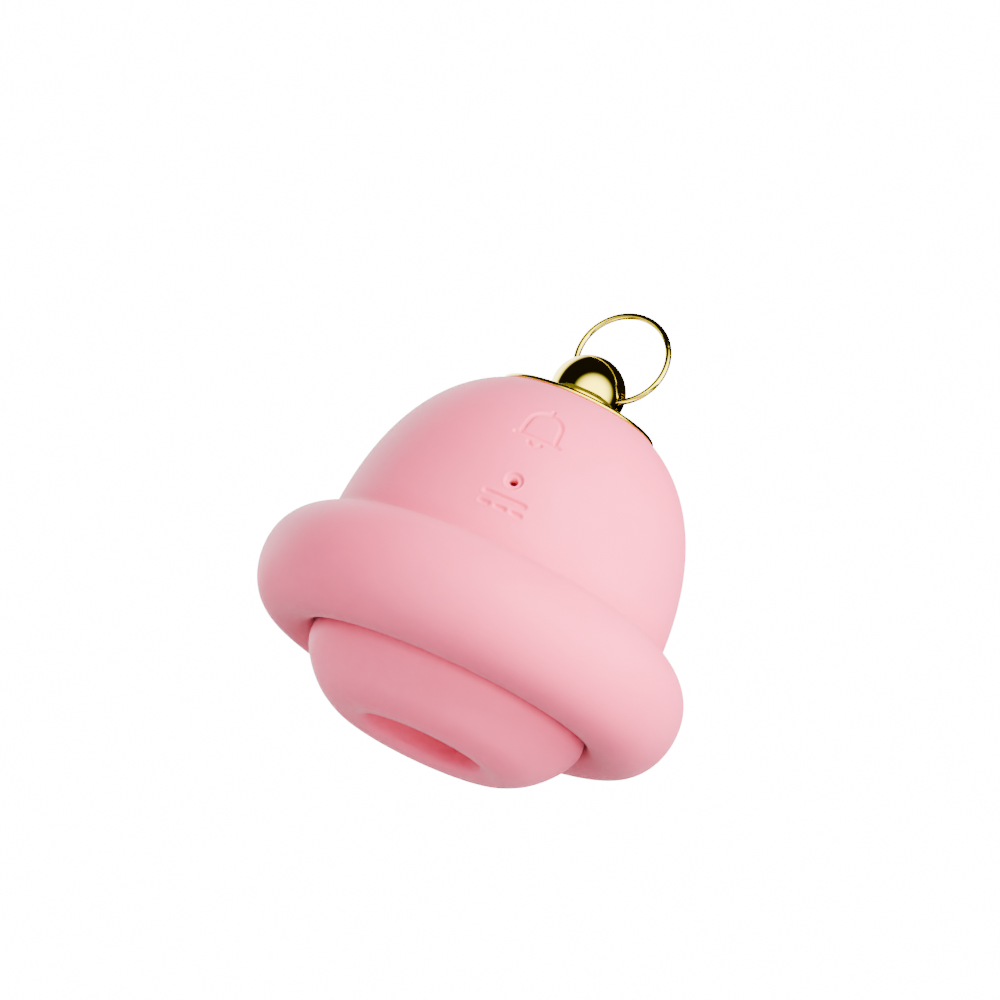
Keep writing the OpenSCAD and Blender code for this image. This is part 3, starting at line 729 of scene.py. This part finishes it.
def build_ball():
    """A polished hollow ball with two small round holes for the ring."""
    foot = BALL_FOOT
    angles = np.linspace(math.asin((foot - BALL_Z) / BALL_R), math.pi / 2, 120)
    shell = np.stack([BALL_R * np.cos(angles), BALL_Z + BALL_R * np.sin(angles)], 1)
    cavity = BALL_R - BALL_WALL
    inner = np.linspace(math.pi / 2, math.asin((foot + 0.9 - BALL_Z) / cavity), 60)
    hollow = np.stack([cavity * np.cos(inner), BALL_Z + cavity * np.sin(inner)], 1)
    stud_low = span("ball_finial", 2)[0]
    turn = np.linspace(0, 2 * math.pi, 241)[:-1]
    ball = lathe("gold_ball", np.concatenate([[[0.0, foot]], shell, [[0.0, BALL_Z + BALL_R]]]), turn)
    void = lathe("void", np.concatenate([hollow, [[0.0, foot + 0.9]]]), turn)
    across, _, pivot = ring_axes()
    drill = cylinder_tool("ring_hole", pivot, across, RING_HOLE_R, 2 * BALL_R)
    cut_away(ball, (void, drill))
    crisp(ball, 30)
    paint(ball, GOLD)
    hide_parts("ball_finial")
    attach(ball, "shell")
    stud_rows = [[0.0, stud_low], [STUD_R - 0.2, stud_low], [STUD_R, stud_low + 0.2]]
    turns = int((foot - stud_low - 0.8) / THREAD_PITCH)
    for i in range(turns):
        z = stud_low + 0.3 + i * THREAD_PITCH
        stud_rows += [[STUD_R, z], [STUD_R - 0.12, z + THREAD_PITCH / 2]]
    stud_rows += [[STUD_R, foot - 0.1], [0.0, foot - 0.1]]
    stud = lathe("threaded_stud", stud_rows, np.linspace(0, 2 * math.pi, 49)[:-1])
    crisp(stud, 25)
    paint(stud, BY_SLOT["steel"])
    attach(stud, "shell")


def build_ring():
    """A thin polished wire ring, with the butt joint where the wire was closed."""
    across, out, _ = ring_axes()
    centre = Vector((0, 0, BALL_Z)) * MM + out * RING_R * MM
    around, section = 288, 24
    seam_half = 0.5
    points, faces = [], []
    for i in range(around):
        a = 2 * math.pi * i / around
        seam = math.degrees(a) - 52
        wire = WIRE_R - 0.035 * math.exp(-(seam / seam_half) ** 2)
        for k in range(section):
            b = 2 * math.pi * k / section
            reach = RING_R + wire * math.cos(b)
            local = across * reach * math.cos(a) + out * reach * math.sin(a)
            points.append(centre + (local + across.cross(out) * wire * math.sin(b)) * MM)
            j, m = (i + 1) % around, (k + 1) % section
            faces.append((i * section + k, j * section + k, j * section + m, i * section + m))
    mesh = bpy.data.meshes.new("gold_ring")
    mesh.from_pydata(points, [], faces)
    fix_normals(mesh)
    for polygon in mesh.polygons:
        polygon.use_smooth = True
    ring = bpy.data.objects.new("gold_ring", mesh)
    bpy.context.scene.collection.objects.link(ring)
    paint(ring, GOLD)
    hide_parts("hanging_ring")
    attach(ring, "ring")


# ---------------------------------------------------------------- stage and light
def area_light(name, way, distance, side, power, colour=(1, 1, 1)):
    """A square soft light aimed at the bell; its way is right, up and back from the camera."""
    data = bpy.data.lights.new(name, "AREA")
    data.shape = "SQUARE"
    data.size = side
    data.energy = power
    data.color = colour
    light = bpy.data.objects.new(name, data)
    target = Vector((0, 0, 25)) * MM
    back = (VIEW_RIGHT * way[0] + VIEW_UP * way[1] + VIEW_BACK * way[2]).normalized()
    light.matrix_world = (Matrix.Translation(target + back * distance)
                          @ back.to_track_quat("Z", "Y").to_matrix().to_4x4())
    light.visible_glossy = False
    bpy.context.scene.collection.objects.link(light)


def set_world():
    """White backdrop, even soft fill, and for mirror-like metal a round softbox in a dark room."""
    world = bpy.data.worlds.new("studio")
    bpy.context.scene.world = world
    world.use_nodes = True
    nodes, links = world.node_tree.nodes, world.node_tree.links

    def light(colour, strength):
        node = nodes["Background"] if colour is None else nodes.new("ShaderNodeBackground")
        node.inputs["Color"].default_value = (*(colour or (1, 1, 1)), 1)
        node.inputs["Strength"].default_value = strength
        return node.outputs[0]

    def blend(factor, first, second):
        node = nodes.new("ShaderNodeMixShader")
        links.new(factor, node.inputs[0])
        links.new(first, node.inputs[1])
        links.new(second, node.inputs[2])
        return node.outputs[0]

    def toward(direction, start, full):
        dot = nodes.new("ShaderNodeVectorMath")
        dot.operation = "DOT_PRODUCT"
        links.new(nodes.new("ShaderNodeTexCoord").outputs["Generated"], dot.inputs[0])
        dot.inputs[1].default_value = direction.normalized()
        step = nodes.new("ShaderNodeMapRange")
        step.interpolation_type = "SMOOTHERSTEP"
        links.new(dot.outputs["Value"], step.inputs["Value"])
        step.inputs["From Min"].default_value = start
        step.inputs["From Max"].default_value = full
        return step.outputs["Result"]

    path = nodes.new("ShaderNodeLightPath")
    room = light((0.02, 0.016, 0.012), 0.5)
    softbox = blend(toward(VIEW_BACK + VIEW_RIGHT * 0.3 - VIEW_UP * 0.06, 0.36, 0.97),
                    room, light((1.0, 0.98, 0.88), 8.0))
    mirrored = blend(toward(-VIEW_BACK - VIEW_RIGHT * 0.55 + VIEW_UP * 0.3, 0.75, 0.98),
                     softbox, light((1.0, 1.0, 1.0), 6.0))
    by_gloss = blend(path.outputs["Is Glossy Ray"], light((1.0, 0.97, 0.98), 0.15), mirrored)
    backdrop = blend(path.outputs["Is Camera Ray"], by_gloss, light(None, 16.0))
    links.new(backdrop, nodes["World Output"].inputs["Surface"])


def build_stage():
    floor_z = -0.18
    half = 3.0
    mesh = bpy.data.meshes.new("floor")
    mesh.from_pydata([(-half, -half, floor_z), (half, -half, floor_z), (half, half, floor_z),
                      (-half, half, floor_z)], [], [(0, 1, 2, 3)])
    floor = bpy.data.objects.new("floor", mesh)
    bpy.context.scene.collection.objects.link(floor)
    look = Shader("pale_floor")
    look.link(look.mix(look.noise(3, 2), (0.9, 0.9, 0.9), (0.94, 0.94, 0.94)), "Base Color")
    look.put("Roughness", 0.9)
    paint(floor, look.material)


def build_lights():
    set_world()
    build_stage()
    area_light("key", (0.7, 0.6, 1.0), 0.16, 0.07, 0.62, (1, 0.985, 0.98))
    area_light("side", (1.0, 0.0, 0.35), 0.16, 0.07, 0.44)
    area_light("front", (0.5, -0.2, 1.0), 0.75, 0.4, 9.0)
    area_light("high_side", (1.0, 0.6, 0.4), 0.75, 0.4, 4.0)
    area_light("high_left", (-0.8, 0.8, 0.6), 0.75, 0.4, 1.2)
    area_light("rim_left", (-1.0, 0.35, -0.4), 0.75, 0.4, 6.0)


# ---------------------------------------------------------------- everything, in order
dress_frame()
build_skin()
build_cup()
build_bellows()
build_cap()
build_ball()
build_ring()
build_lights()
